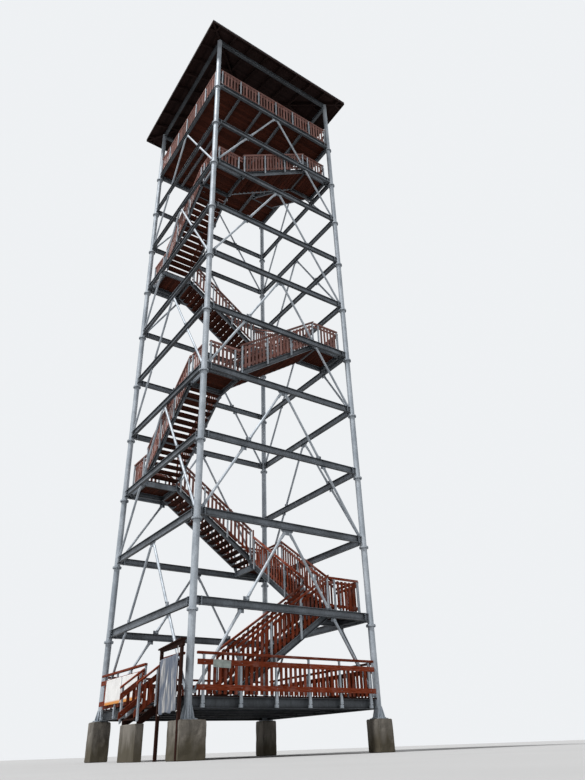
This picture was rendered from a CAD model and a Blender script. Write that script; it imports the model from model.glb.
"""Fire lookout tower: the finish of its steel, timber, roof and sheets.

Everything is in metres, in the frame of the CAD model. Most pieces are drawn on face 0,
which runs along +X from the front leg to the right leg, and are turned to their own face.
"""
import math
import random

import bmesh
import bpy
from bpy.props import FloatProperty, FloatVectorProperty, IntProperty, PointerProperty
from mathutils import Euler, Matrix, Vector, noise


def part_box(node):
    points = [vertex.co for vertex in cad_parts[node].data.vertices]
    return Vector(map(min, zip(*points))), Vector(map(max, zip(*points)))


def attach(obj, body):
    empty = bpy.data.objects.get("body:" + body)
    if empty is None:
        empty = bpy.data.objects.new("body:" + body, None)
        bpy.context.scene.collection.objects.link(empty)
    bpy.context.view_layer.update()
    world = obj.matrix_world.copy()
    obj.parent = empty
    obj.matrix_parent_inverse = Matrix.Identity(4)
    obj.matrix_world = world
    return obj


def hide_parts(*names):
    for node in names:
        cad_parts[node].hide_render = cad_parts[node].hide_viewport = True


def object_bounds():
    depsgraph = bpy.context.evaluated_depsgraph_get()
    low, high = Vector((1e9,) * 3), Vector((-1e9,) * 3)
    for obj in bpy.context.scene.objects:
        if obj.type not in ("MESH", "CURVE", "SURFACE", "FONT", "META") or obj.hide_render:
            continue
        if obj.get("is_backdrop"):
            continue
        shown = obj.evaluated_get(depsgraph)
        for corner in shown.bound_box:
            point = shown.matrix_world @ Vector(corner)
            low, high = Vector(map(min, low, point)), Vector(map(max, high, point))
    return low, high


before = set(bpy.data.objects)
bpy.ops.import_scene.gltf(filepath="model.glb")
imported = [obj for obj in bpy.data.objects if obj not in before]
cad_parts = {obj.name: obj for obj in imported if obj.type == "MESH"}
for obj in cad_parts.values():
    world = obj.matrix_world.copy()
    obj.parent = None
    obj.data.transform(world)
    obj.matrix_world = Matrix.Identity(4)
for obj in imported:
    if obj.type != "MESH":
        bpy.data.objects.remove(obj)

bl_info = {
    "name": "Fire lookout tower",
    "version": (1, 0, 0),
    "blender": (4, 5, 0),
    "location": "View3D > Sidebar > Tower",
    "description": "Dresses the frame of a fire lookout tower in steel, timber and sheet",
    "category": "Object",
}

CAD_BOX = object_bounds()
BODY = "root"
LEGS = ("front", "right", "back", "left")
FACES = ("front_right", "back_right", "back_left", "front_left")
QUARTER = math.pi / 2
TOP_LEVEL = 10
# Height of the first landing's floor above level 0
FIRST_LANDING = 3.13
# Heights of the deck's lower and upper plank above its floor
DECK_PLANKS = ((0.115, 0.258), (0.755, 0.900))
# Width and height that the notice board's sheet was cut to, and the thickness of both sheets
SHEET_THICKNESS = 0.0015
# Linear colour of the background
PALE = (0.86, 0.88, 0.90)
# Thickness of rails, wide planks, pickets and the shoes of braces
RAIL, PLANK, PICKET, SHOE = 0.035, 0.030, 0.025, 0.026
# Width of the eased edges of posts, handrails and pickets
POST_EASE, RAIL_EASE, PICKET_EASE = 0.006, 0.010, 0.003


def axis_of(leg):
    """Place of a leg's axis in plan, from its base plate."""
    low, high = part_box(leg)
    return (low + high).xy / 2


SPAN = (axis_of("leg_right") - axis_of("leg_front")).length
MIDDLE = SPAN / 2
FLOORS = (
    [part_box("deck_floor")[1].z]
    + [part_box(f"landing_{n}")[1].z for n in range(1, TOP_LEVEL)]
    + [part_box("platform_floor")[1].z]
)


def linear(code):
    """Linear colour of an sRGB hex code."""
    channels = [int(code[i:i + 2], 16) / 255 for i in (1, 3, 5)]
    return [c / 12.92 if c <= 0.04045 else ((c + 0.055) / 1.055) ** 2.4 for c in channels]


def paint(name, description, code):
    """A colour that a user may change."""
    return FloatVectorProperty(name=name, description=description, default=linear(code),
                               subtype="COLOR", size=3, min=0.0, max=1.0)


def length(name, description, default):
    """A length that a user may change."""
    return FloatProperty(name=name, description=description, default=default, unit="LENGTH")


def angle(name, description, degrees):
    """An angle that a user may change."""
    return FloatProperty(name=name, description=description, default=math.radians(degrees),
                         subtype="ANGLE")


class TowerFrameSizes(bpy.types.PropertyGroup):
    """Sizes of the legs, beams and braces"""
    datum: length("Datum", "Height of level 0", FLOORS[1] - FIRST_LANDING)
    level: length("Level", "Height of one level", 2.70)
    leg_radius: length("Leg radius", "Outer radius of a leg tube", 0.10955)
    flange_radius: length("Flange radius", "Radius of the ring flanges", 0.1675)
    flange_depth: length("Flange depth", "Thickness of a pair of ring flanges", 0.060)
    flange_bolts: IntProperty(name="Flange bolts", description="Bolts round one pair of flanges",
                              default=12, min=4)
    plate: length("Base plate", "Width of a base plate", 0.42)
    plate_depth: length("Base plate depth", "Thickness of a base plate", 0.025)
    fin: length("Fin height", "Height of the fins on a base plate", 0.33)
    beam_depth: length("Beam depth", "Depth of a main beam", 0.24)
    beam_width: length("Beam width", "Width of a main beam", 0.12)
    beam_foot: length("Beam foot", "Underside of a main beam above its level", 0.15)
    joint: length("Joint", "Leg axis to the bolted joint in a beam", 0.25)
    bolt: length("Bolt", "Thread size of the bolts", 0.020)


class TowerStairSizes(bpy.types.PropertyGroup):
    """Sizes of the flights, landings and balustrades"""
    landing: length("Landing", "Leg axis to the end of a landing", 1.575)
    outside: length("Outside", "Leg axis to the outer side of the stair", 0.205)
    risers: IntProperty(name="Risers", description="Risers in a flight", default=16, min=2)
    channel: length("Channel", "Depth of the stringers and channels", 0.20)
    flange: length("Channel flange", "Width of the channels' flanges", 0.075)
    tread: length("Tread", "Thickness of a tread plank", 0.060)
    nosing: length("Nosing", "Tread's reach past the tread below", 0.025)
    floor: length("Floor board", "Thickness of a floor board", 0.040)
    board: length("Board width", "Width of a floor board", 0.145)
    gap: length("Board gap", "Gap between two boards", 0.010)
    rail_height: length("Rail height", "Height of the handrails", 1.10)
    flight_rail: length("Flight rail height", "Height of a flight's handrails, square to the slope",
                        0.965)
    handrail: length("Handrail", "Thickness of the handrails", 0.070)
    pitch: length("Picket pitch", "Least distance between two pickets", 0.160)
    picket: length("Picket", "Width of a picket", 0.092)
    post: length("Post", "Width of the steel posts", 0.060)


class TowerDeckSizes(bpy.types.PropertyGroup):
    """Sizes of the ground deck, its entrance and the two sheets"""
    edge: length("Edge", "Leg axis to the outer side of the edge beams", 0.075)
    end: length("End", "Leg axis to the end of a balustrade", 0.16)
    post_pitch: length("Post pitch", "Distance between two posts", 1.2)
    entrance: length("Entrance", "Left leg's axis to the entrance", 3.95)
    entrance_width: length("Entrance width", "Width of the entrance", 1.2)
    notice_post: length("Notice post", "Width of the notice board's posts", 0.085)
    notice_left: length("Left post", "Left leg's axis to the left notice post", 5.665)
    notice_right: length("Right post", "Left leg's axis to the right notice post", 6.980)
    sheet_fold: length("Fold", "Depth of the notice sheet's folds", 0.022)
    banner_band: length("Band", "Height of the band along the panel's foot", 0.095)


class TowerRoofSizes(bpy.types.PropertyGroup):
    """Sizes of the roof"""
    eaves: length("Eaves", "Leg axis to the eaves", 0.81)
    pitch: angle("Pitch", "Pitch of the roof", 22)
    boards: length("Boards", "Thickness of the boards under the sheet", 0.024)
    covering: length("Covering", "Thickness of the whole covering", 0.060)
    seam_pitch: length("Seam pitch", "Distance between two standing seams", 0.523)


class TowerColours(bpy.types.PropertyGroup):
    """Colours of the finishes"""
    zinc: paint("Zinc", "Galvanised steel", "#c2cad2")
    zinc_dull: paint("Dull zinc", "Weathered patches of the zinc", "#a3acb5")
    zinc_old: paint("Old zinc", "Zinc of the beams and channels", "#939ba4")
    stain: paint("Stain", "Stained timber of the balustrades", "#853a1f")
    stain_dark: paint("Dark stain", "Dark fibres of the stained timber", "#4a180c")
    stain_worn: paint("Worn stain", "Stain bleached by the sun", "#9c7a74")
    floor: paint("Floor", "Stain of the floors and treads", "#2e1d18")
    dark_wood: paint("Dark timber", "Notice board", "#33201a")
    roof_wood: paint("Roof timber", "Rafters and boards of the roof", "#261d1d")
    sheet: paint("Roof sheet", "Sheet on the roof", "#3b3436")
    concrete: paint("Concrete", "Footings", "#8a847b")
    earth: paint("Earth", "Earth and moss on the footings", "#4b4433")
    white: paint("White sheet", "Panel and notice sheet", "#fbfaf8")
    crease: paint("Crease", "Grey folds of the notice sheet", "#5f6878")
    band: paint("Band", "Band along the panel's foot", "#e0902c")
    plate: paint("Bare plate", "Small plate on the deck's balustrade", "#a8b3ad")


class TowerStage(bpy.types.PropertyGroup):
    """Camera and light"""
    place: FloatVectorProperty(name="Camera place", description="Where the camera stands",
                               default=(-8.21, -16.85, 0.16), subtype="TRANSLATION", size=3)
    heading: angle("Heading", "Camera's turn from +Y towards +X", 35.51)
    tilt: angle("Tilt", "Camera's tilt above the horizon", 30.21)
    roll: angle("Roll", "Camera's roll", -2.06)
    focal_pixels: FloatProperty(name="Focal length", description="Focal length in photo pixels",
                                default=617.9)
    photo_height: IntProperty(name="Photo height", description="Height of the photo in pixels",
                              default=780)
    sky: FloatProperty(name="Sky", description="Strength of the light from all round", default=0.28)
    lamp: FloatProperty(name="Lamp", description="Strength of the soft lamp", default=3.5)
    lamp_width: angle("Lamp width", "Angle that the soft lamp takes up", 8)


def settings(kind):
    """The scene's settings of one kind, such as those of the stair."""
    return getattr(bpy.context.scene, f"tower_{kind}")


# Materials

def connect(tree, node, inputs):
    """Sets a node's inputs, or links them where a socket or a node is given. A node stands for
    the first of its outputs that is in use."""
    for key, value in inputs.items():
        socket = node.inputs[key]
        if isinstance(value, bpy.types.Node):
            value = next(output for output in value.outputs if output.enabled)
        if isinstance(value, bpy.types.NodeSocket):
            tree.links.new(value, socket)
        else:
            socket.default_value = (*value, 1.0) if socket.type == "RGBA" else value


def add(tree, kind, inputs=None, stops=(), **given):
    """Adds a node with its settings and inputs. Stops are the places and colours of a ramp, or
    the places and greys."""
    made = tree.nodes.new(kind)
    for name, value in given.items():
        setattr(made, name, value)
    connect(tree, made, inputs or {})
    for _ in stops[2:]:
        made.color_ramp.elements.new(0.5)
    for element, (position, colour) in zip(made.color_ramp.elements if stops else (), stops):
        element.position = position
        element.color = (*colour, 1.0) if hasattr(colour, "__len__") else (colour, colour, colour, 1.0)
    return made


def finish(maker):
    """The material that maker(tree, place, colours) describes, made once. A maker gives a relief,
    its depth in metres, and the shader's other inputs."""
    material = bpy.data.materials.get(maker.__name__)
    if material is None:
        material = bpy.data.materials.new(maker.__name__)
        material.use_nodes = True
        tree = material.node_tree
        place = add(tree, "ShaderNodeTexCoord").outputs["Object"]
        relief, depth, inputs = maker(tree, place, settings("colours"))
        bump = add(tree, "ShaderNodeBump", {"Height": relief, "Distance": depth})
        connect(tree, tree.nodes["Principled BSDF"], {**inputs, "Normal": bump})
    return material


def shade(colour, factor):
    return [c * factor for c in colour]


def mottled(tree, place, size, stops, stretch=None, **given):
    """Noise with spots of a size in metres, drawn out where stretch is under 1, and the colours
    that a ramp gives to it."""
    if stretch:
        place = add(tree, "ShaderNodeMapping", {"Vector": place, "Scale": stretch})
    spots = add(tree, "ShaderNodeTexNoise", {"Vector": place, "Scale": 1 / size, **given})
    return spots, add(tree, "ShaderNodeValToRGB", {"Fac": spots}, stops=stops)


def zinc_coat(tree, place, light, dull, grime=1.0):
    """Hot-dip galvanised steel after some years outdoors: blue-grey zinc that has gone dull. Its
    crystals are 20 mm wide and are drawn 45 mm wide so that they show. Rain has left darker
    patches and streaks down the uprights. Grime stays where rain doesn't wash it off: on faces
    that look down, and in the hollows of the sections."""
    crystals = add(tree, "ShaderNodeTexVoronoi", {"Vector": place, "Scale": 1 / 0.045})
    cell = add(tree, "ShaderNodeSeparateColor", {"Color": crystals.outputs["Color"]}).outputs
    _, base = mottled(tree, place, 0.9, [(0.38, dull), (0.58, light)], Detail=6.0, Roughness=0.65)
    speckle = add(tree, "ShaderNodeValToRGB", {"Fac": cell["Red"]}, stops=[(0.0, 0.86), (1.0, 1.0)])
    _, runs = mottled(tree, place, 0.05, [(0.50, 1.0), (0.70, 0.70)], (1, 1, 0.05), Detail=4.0)
    normal = add(tree, "ShaderNodeNewGeometry").outputs["Normal"]
    upward = add(tree, "ShaderNodeSeparateXYZ", {"Vector": normal}).outputs["Z"]
    dirt = add(tree, "ShaderNodeMapRange", {
        "Value": upward, "From Min": -0.95, "From Max": -0.55, "To Min": 0.25})
    if grime < 1.0:
        hollow = add(tree, "ShaderNodeAmbientOcclusion", {"Distance": 0.20}, samples=6, only_local=True)
        hollow = add(tree, "ShaderNodeMapRange", {
            "Value": hollow.outputs["AO"], "From Min": 0.66, "To Min": grime})
        dirt = add(tree, "ShaderNodeMath", {0: dirt, 1: hollow}, operation="MINIMUM")
    for share, tint in ((1.0, speckle), (0.75, runs), (1.0, dirt)):
        base = add(tree, "ShaderNodeMix", {0: share, 6: base, 7: tint}, data_type="RGBA",
                   blend_type="MULTIPLY")
    rough = add(tree, "ShaderNodeMapRange", {"Value": cell["Green"], "To Min": 0.45, "To Max": 0.62})
    return cell["Red"], 0.0005, {
        "Base Color": base, "Metallic": 0.25, "Roughness": rough, "Specular IOR Level": 0.35}


def hot_dip_zinc(tree, place, c):
    """Zinc of the tubes and posts, still pale."""
    return zinc_coat(tree, place, c.zinc, c.zinc_dull)


def old_zinc(tree, place, c):
    """Zinc of the rolled beams and channels: thicker and greyer, and dark with rain dirt."""
    return zinc_coat(tree, place, c.zinc_old, shade(c.zinc_old, 0.6), grime=0.25)


def splashed_zinc(tree, place, c):
    """Zinc of the deck's beams, dark with earth that rain splashes up."""
    return zinc_coat(tree, place, shade(c.zinc_old, 0.45), shade(c.zinc_old, 0.25), grime=0.25)


def zinc_bolts(tree, place, c):
    """Zinc-plated bolts: brighter metal than the steel round them, dulled in places."""
    wear, base = mottled(tree, place, 0.015, [(0.35, shade(c.zinc_dull, 0.6)), (0.65, c.zinc_dull)])
    return wear, 0.0004, {"Base Color": base, "Metallic": 0.7, "Roughness": 0.42}


def timber(tree, place, dark, body, worn, worn_share, roughness):
    """Sawn softwood under a coloured stain. It reads where each point is along, across and
    through its own board, and the board's own tone. The fibres lie 12 mm apart, twice the real
    rings so that they show, knots come every 0.5 m or so, and the stain is bleached in patches
    and more so high up on the tower. Open pores swallow most of its shine."""
    grain = add(tree, "ShaderNodeAttribute", attribute_name="grain").outputs["Vector"]
    tone = add(tree, "ShaderNodeAttribute", attribute_name="tone").outputs["Fac"]
    shift = add(tree, "ShaderNodeVectorMath", {0: (31.7, 17.3, 23.9), "Scale": tone}, operation="SCALE")
    own = add(tree, "ShaderNodeVectorMath", {0: grain, 1: shift})
    fibres, base = mottled(tree, own, 0.012, [(0.30, dark), (0.52, body), (0.95, worn)],
                           (0.05, 1, 1), Detail=5.0, Distortion=0.4)
    squeezed = add(tree, "ShaderNodeMapping", {"Vector": own, "Scale": (0.5, 1, 1)})
    knots = add(tree, "ShaderNodeTexVoronoi", {"Vector": squeezed, "Scale": 1 / 0.30})
    patches = add(tree, "ShaderNodeTexNoise", {"Vector": own, "Scale": 1 / 0.35, "Detail": 4.0})
    height = add(tree, "ShaderNodeSeparateXYZ", {"Vector": place}).outputs["Z"]
    exposed = add(tree, "ShaderNodeMapRange", {
        "Value": height, "From Min": 3.0, "From Max": 13.0, "To Max": 0.40})
    bleached = add(tree, "ShaderNodeMath", {0: patches, 1: exposed}, operation="ADD")
    bleached = add(tree, "ShaderNodeMapRange", {
        "Value": bleached, "From Min": 0.55, "From Max": 0.86, "To Max": worn_share})
    base = add(tree, "ShaderNodeMix", {0: bleached, 6: base, 7: worn}, data_type="RGBA")
    knot = add(tree, "ShaderNodeValToRGB", {"Fac": knots}, stops=[(0.03, 0.35), (0.07, 1.0)])
    base = add(tree, "ShaderNodeMix", {0: 1.0, 6: base, 7: knot}, data_type="RGBA", blend_type="MULTIPLY")
    board_tone = add(tree, "ShaderNodeMapRange", {"Value": tone, "To Min": 0.66, "To Max": 1.25})
    base = add(tree, "ShaderNodeVectorMath", {0: base, "Scale": board_tone}, operation="SCALE")
    return fibres, 0.001, {"Base Color": base, "Roughness": roughness, "Specular IOR Level": 0.08}


def stained_softwood(tree, place, c):
    """Softwood under a red-brown stain, matt, bleached where rain and sun reach it."""
    return timber(tree, place, c.stain_dark, c.stain, c.stain_worn, 0.85, 0.80)


def trodden_softwood(tree, place, c):
    """Softwood under a dark brown stain, trodden dull."""
    return timber(tree, place, shade(c.floor, 0.4), c.floor, shade(c.stain, 0.5), 0.25, 0.85)


def dark_softwood(tree, place, c):
    """Square sawn softwood under a near-black brown stain."""
    return timber(tree, place, shade(c.dark_wood, 0.5), c.dark_wood, c.stain_dark, 0.4, 0.80)


def roof_softwood(tree, place, c):
    """Rafters and boards under a near-black stain, out of the sun."""
    return timber(tree, place, shade(c.roof_wood, 0.5), c.roof_wood, c.dark_wood, 0.3, 0.85)


def roof_sheet(tree, place, c):
    """Folded steel sheet with a matt dark coat, faded in patches, with a faint orange peel."""
    faded = [(0.35, shade(c.sheet, 0.75)), (0.65, shade(c.sheet, 1.4))]
    _, base = mottled(tree, place, 0.7, faded, Detail=6.0)
    peel = add(tree, "ShaderNodeTexNoise", {"Vector": place, "Scale": 1 / 0.012})
    return peel, 0.0004, {"Base Color": base, "Metallic": 0.2, "Roughness": 0.5}


def weathered_concrete(tree, place, c):
    """Cast concrete after years in the weather: grey paste with 5 mm grit, drawn 20 mm wide,
    rain stains, and earth and moss over its lower part."""
    grit, speck = mottled(tree, place, 0.02, [(0.35, 0.65), (0.60, 1.0)], Detail=8.0)
    stains, base = mottled(tree, place, 0.22, [(0.32, shade(c.concrete, 0.5)), (0.60, c.concrete)],
                           (1, 1, 0.3), Detail=6.0)
    base = add(tree, "ShaderNodeMix", {0: 1.0, 6: base, 7: speck}, data_type="RGBA",
               blend_type="MULTIPLY")
    height = add(tree, "ShaderNodeSeparateXYZ", {"Vector": place}).outputs["Z"]
    edge = add(tree, "ShaderNodeMath", {0: stains, 1: 0.8, 2: height}, operation="MULTIPLY_ADD")
    low = add(tree, "ShaderNodeMapRange", {
        "Value": edge, "From Min": 0.65, "From Max": 1.15, "To Min": 0.85, "To Max": 0.0})
    base = add(tree, "ShaderNodeMix", {0: low, 6: base, 7: c.earth}, data_type="RGBA")
    return grit, 0.004, {"Base Color": base, "Roughness": 0.92}


def coated_sheet(tree, place, c):
    """Coated woven sheet: white, half matt, with a coloured band along its foot, a seam grey
    with dirt, and rain dirt. Its 1 mm weave is drawn 8 mm wide."""
    share = add(tree, "ShaderNodeAttribute", attribute_name="note").outputs["Fac"]
    seam = add(tree, "ShaderNodeMapRange", {"Value": share, "From Max": -1.0, "To Max": 0.7})
    weave = add(tree, "ShaderNodeTexNoise", {"Vector": place, "Scale": 1 / 0.008})
    _, base = mottled(tree, place, 0.3, [(0.35, shade(c.white, 0.88)), (0.6, c.white)], Detail=6.0)
    base = add(tree, "ShaderNodeMix", {0: share, 6: base, 7: c.band}, data_type="RGBA")
    base = add(tree, "ShaderNodeMix", {0: seam, 6: base, 7: c.crease}, data_type="RGBA")
    return weave, 0.0006, {"Base Color": base, "Roughness": 0.5}


def thin_white_sheet(tree, place, c):
    """Thin white plastic sheet: slightly glossy, creased, with grey dirt down its folds. The
    fold's depth at each point comes from the sheet itself."""
    fold = add(tree, "ShaderNodeAttribute", attribute_name="note").outputs["Fac"]
    down = add(tree, "ShaderNodeMapping", {"Vector": place, "Scale": (1, 1, 0.15)})
    runs = add(tree, "ShaderNodeTexNoise", {"Vector": down, "Scale": 1 / 0.08, "Detail": 5.0})
    dirt = add(tree, "ShaderNodeMath", {0: fold, 1: 0.45, 2: runs}, operation="MULTIPLY_ADD")
    base = add(tree, "ShaderNodeValToRGB", {"Fac": dirt},
               stops=[(0.42, c.white), (0.52, shade(c.white, 0.45)), (0.76, c.crease)])
    return runs, 0.004, {"Base Color": base, "Roughness": 0.38}


def painted_plate(tree, place, c):
    """Small aluminium plate under a thin grey-green coat, with nothing on it."""
    dirt, base = mottled(tree, place, 0.12, [(0.32, shade(c.plate, 0.6)), (0.62, c.plate)], Detail=6.0)
    return dirt, 0.0006, {"Base Color": base, "Roughness": 0.42}


def pale_floor(tree, place, c):
    """Matt pale floor of a studio, a little uneven in tone."""
    spots, base = mottled(tree, place, 2.5, [(0.0, 0.44), (1.0, 0.50)])
    return spots, 0.001, {"Base Color": base, "Roughness": 0.9}


# Templates

def put(name, data):
    """Adds an object to the scene."""
    made = bpy.data.objects.new(name, data)
    bpy.context.scene.collection.objects.link(made)
    return made


def pattern(bm, smooth=False):
    """Template object for rows, from a mesh in the making."""
    mesh = bpy.data.meshes.new("pattern")
    bm.to_mesh(mesh)
    bm.free()
    if smooth:
        mesh.shade_smooth()
        mesh.set_sharp_from_angle(angle=math.radians(35))
    made = put("pattern", mesh)
    made.hide_render = True
    return made


def note_grain(bm, low, axis):
    """Keeps each point's place along, across and through its board."""
    layer = bm.verts.layers.float_vector.new("grain")
    for v in bm.verts:
        local = v.co - Vector(low)
        v[layer] = [local[(axis + i) % 3] for i in range(3)]


def board(low, high, axis=0, slope=0.0, eased=0.004):
    """Board or bar between two corners, with eased edges and its grain along axis. On a slope it
    climbs along X, and its ends are cut plumb."""
    bm = bmesh.new()
    bmesh.ops.create_cube(bm, size=1.0)
    for v in bm.verts:
        v.co = [low[i] + (v.co[i] + 0.5) * (high[i] - low[i]) for i in range(3)]
    bmesh.ops.bevel(bm, geom=bm.edges[:], offset=eased, segments=1, affect="EDGES")
    note_grain(bm, low, axis)
    for v in bm.verts:
        v.co.z += slope * (v.co.x - low[0])
    return pattern(bm)


def loft(rings):
    """Closed solid through rings of points."""
    bm = bmesh.new()
    rings = [[bm.verts.new(point) for point in ring] for ring in rings]
    for a, b in zip(rings, rings[1:]):
        for i in range(len(a)):
            j = (i + 1) % len(a)
            bm.faces.new((a[i], a[j], b[j], b[i]))
    bm.faces.new(rings[0][::-1])
    bm.faces.new(rings[-1])
    bmesh.ops.recalc_face_normals(bm, faces=bm.faces[:])
    return bm


def plate(outline, low, high, axis=1, eased=0.0):
    """Plate with the given outline in the two other axes, from low to high along axis."""
    bm = loft([[(*pair[:axis], side, *pair[axis:]) for pair in outline] for side in (low, high)])
    if eased:
        bmesh.ops.bevel(bm, geom=bm.edges[:], offset=eased, segments=1, affect="EDGES")
    note_grain(bm, (0, 0, 0), 0 if axis else 1)
    return pattern(bm)


def mirrored(half):
    """Whole outline from the half of it at +X."""
    return half + [(-x, z) for x, z in half[::-1]]


def turned(profile, segments):
    """Round solid about Z from the radius and height of each ring, closed at both ends."""
    angles = [2 * math.pi * i / segments for i in range(segments)]
    return loft([[(radius * math.cos(a), radius * math.sin(a), z) for a in angles]
                 for radius, z in profile])


def bolt_head(centre, axis, size, facing=1):
    """Hexagon head on a washer, which stands up along axis from a face at centre."""
    shape = ((1.1, 0), (1.1, 0.15), (0.85, 0.15), (0.85, 0.65), (0.7, 0.78))
    bm = turned([(size * r, size * z) for r, z in shape], 6)
    tip = {0: (0, facing * QUARTER, 0), 1: (-facing * QUARTER, 0, 0),
           2: (0 if facing > 0 else math.pi, 0, 0)}[axis]
    bm.transform(Matrix.Translation(centre) @ Euler(tip).to_matrix().to_4x4())
    return pattern(bm)


# Rows of templates

ROW_INPUTS = (
    ("Geometry", "Geometry"), ("Piece", "Object"), ("Count", "Int"), ("Start", "Vector"),
    ("Step", "Vector"), ("Turn", "Vector"), ("Turn Step", "Vector"), ("Levels", "Int"),
    ("Level Step", "Vector"), ("Play", "Float"), ("Seed", "Int"), ("Finish", "Material"),
)


def row_tree():
    """Tree that adds a row, a ring or a stack of rows of one piece to what is there already.
    Each copy has its own tone, and a little play in its place."""
    name = "Row of pieces"
    if name in bpy.data.node_groups:
        return bpy.data.node_groups[name]
    tree = bpy.data.node_groups.new(name, "GeometryNodeTree")
    for label, kind in ROW_INPUTS:
        tree.interface.new_socket(label, in_out="INPUT", socket_type=f"NodeSocket{kind}")
    tree.interface.new_socket("Geometry", in_out="OUTPUT", socket_type="NodeSocketGeometry")
    given = add(tree, "NodeGroupInput").outputs
    line = add(tree, "GeometryNodeMeshLine", {
        "Count": given["Count"], "Start Location": given["Start"], "Offset": given["Step"]}, mode="OFFSET")
    back = add(tree, "ShaderNodeMath", {0: given["Play"], 1: -1.0}, operation="MULTIPLY")
    play = add(tree, "FunctionNodeRandomValue", {0: back, 1: given["Play"], "Seed": given["Seed"]},
               data_type="FLOAT_VECTOR")
    placed = add(tree, "GeometryNodeSetPosition", {"Geometry": line, "Offset": play})
    index = add(tree, "GeometryNodeInputIndex")
    turn = add(tree, "ShaderNodeVectorMath", {0: given["Turn Step"], 1: index, 2: given["Turn"]},
               operation="MULTIPLY_ADD")
    piece = add(tree, "GeometryNodeObjectInfo", {"Object": given["Piece"]}).outputs["Geometry"]
    copies = add(tree, "GeometryNodeInstanceOnPoints", {
        "Points": placed, "Instance": piece, "Rotation": turn})
    tone = add(tree, "FunctionNodeRandomValue", {"Seed": given["Seed"]}, data_type="FLOAT")
    toned = add(tree, "GeometryNodeStoreNamedAttribute", {
        "Geometry": copies, "Name": "tone", "Value": tone}, data_type="FLOAT", domain="INSTANCE")
    one_level = add(tree, "GeometryNodeRealizeInstances", {"Geometry": toned})
    levels = add(tree, "GeometryNodeMeshLine", {
        "Count": given["Levels"], "Offset": given["Level Step"]}, mode="OFFSET")
    stack = add(tree, "GeometryNodeInstanceOnPoints", {"Points": levels, "Instance": one_level})
    joined = add(tree, "GeometryNodeJoinGeometry", {"Geometry": given["Geometry"]})
    connect(tree, joined, {"Geometry": stack})
    real = add(tree, "GeometryNodeRealizeInstances", {"Geometry": joined})
    done = add(tree, "GeometryNodeSetMaterial", {"Geometry": real, "Material": given["Finish"]})
    add(tree, "NodeGroupOutput", {"Geometry": done})
    return tree


def face_matrix(k):
    """Turns what is drawn on face 0 to face k, about the tower's middle."""
    middle = Vector((MIDDLE, MIDDLE, 0))
    turn = Matrix.Rotation(k * QUARTER, 4, "Z")
    return Matrix.Translation(middle) @ turn @ Matrix.Translation(-middle)


def place(made, maker, nodes=()):
    """Gives a finished piece its body and its slot, and hides the nodes that it stands for."""
    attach(made, BODY)
    if nodes:
        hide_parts(*nodes)
    return made


class Assembly:
    """One piece in the making, from rows of templates. Its turn holds for rows that give none."""

    def __init__(self, name, maker, seed):
        self.made = put(name, bpy.data.meshes.new(name))
        self.maker = maker
        self.seed = seed
        self.turn = (0, 0, 0)
        self.pieces = set()

    def row(self, piece, count=1, step=(0, 0, 0), start=(0, 0, 0), turn=None,
            turn_step=(0, 0, 0), levels=1, level_step=(0, 0, 0), play=0.0):
        """Adds copies of a template. Each is a step further along the piece's own axes, and
        turned by a turn step more. The whole row is repeated at each level."""
        self.seed += 1
        self.pieces.add(piece)
        turn = turn or self.turn
        modifier = self.made.modifiers.new("Row", "NODES")
        modifier.node_group = row_tree()
        given = {
            "Piece": piece, "Count": count, "Start": list(start),
            "Step": list(Euler(turn).to_matrix() @ Vector(step)), "Turn": list(turn),
            "Turn Step": list(turn_step), "Levels": levels, "Level Step": list(level_step),
            "Play": play, "Seed": self.seed, "Finish": finish(self.maker),
        }
        for item in modifier.node_group.interface.items_tree:
            if item.in_out == "INPUT" and item.name in given:
                modifier[item.identifier] = given[item.name]

    def settle(self, face=0, nodes=()):
        """Turns the rows into one plain mesh on its face, and drops the templates."""
        bpy.context.view_layer.update()
        graph = bpy.context.evaluated_depsgraph_get()
        mesh = bpy.data.meshes.new_from_object(
            self.made.evaluated_get(graph), preserve_all_data_layers=True, depsgraph=graph)
        self.made.modifiers.clear()
        for piece in self.pieces:
            bpy.data.objects.remove(piece)
        if not mesh.polygons:
            raise RuntimeError(f"{self.made.name} came out empty")
        mesh.transform(face_matrix(face))
        # the templates leave an empty material slot behind
        mesh.materials.clear()
        mesh.materials.append(finish(self.maker))
        mesh.polygons.foreach_set("material_index", [0] * len(mesh.polygons))
        mesh.name = self.made.name
        self.made.data = mesh
        return place(self.made, self.maker, nodes)


# Pieces cut from the solids of a CAD node

def solids_of(node, face=0):
    """Each solid of a CAD node as a mesh in the making of its own, turned back to face 0."""
    whole = bmesh.new()
    whole.from_mesh(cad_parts[node].data)
    bmesh.ops.remove_doubles(whole, verts=whole.verts[:], dist=1e-5)
    bmesh.ops.dissolve_limit(whole, angle_limit=0.01, verts=whole.verts[:], edges=whole.edges[:])
    whole.transform(face_matrix(-face))
    whole.verts.ensure_lookup_table()
    left = set(range(len(whole.verts)))
    groups = []
    while left:
        group, edge = set(), {left.pop()}
        while edge:
            i = edge.pop()
            group.add(i)
            for link in whole.verts[i].link_edges:
                j = link.other_vert(whole.verts[i]).index
                if j in left:
                    left.discard(j)
                    edge.add(j)
        groups.append(group)
    for group in sorted(groups, key=min):
        solid = whole.copy()
        others = [v for v in solid.verts if v.index not in group]
        bmesh.ops.delete(solid, geom=others, context="VERTS")
        yield solid
    whole.free()


def box_of(bm):
    """Lowest and highest corner of a mesh in the making."""
    return [Vector([pick(v.co[i] for v in bm.verts) for i in range(3)]) for pick in (min, max)]


def cut(bm, point, normal):
    """Drops what lies beyond a plane, and closes the cut."""
    geometry = bm.verts[:] + bm.edges[:] + bm.faces[:]
    bmesh.ops.bisect_plane(bm, geom=geometry, dist=1e-6, plane_co=point, plane_no=normal,
                           clear_outer=True)
    bmesh.ops.holes_fill(bm, edges=[e for e in bm.edges if e.is_boundary], sides=0)


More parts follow.
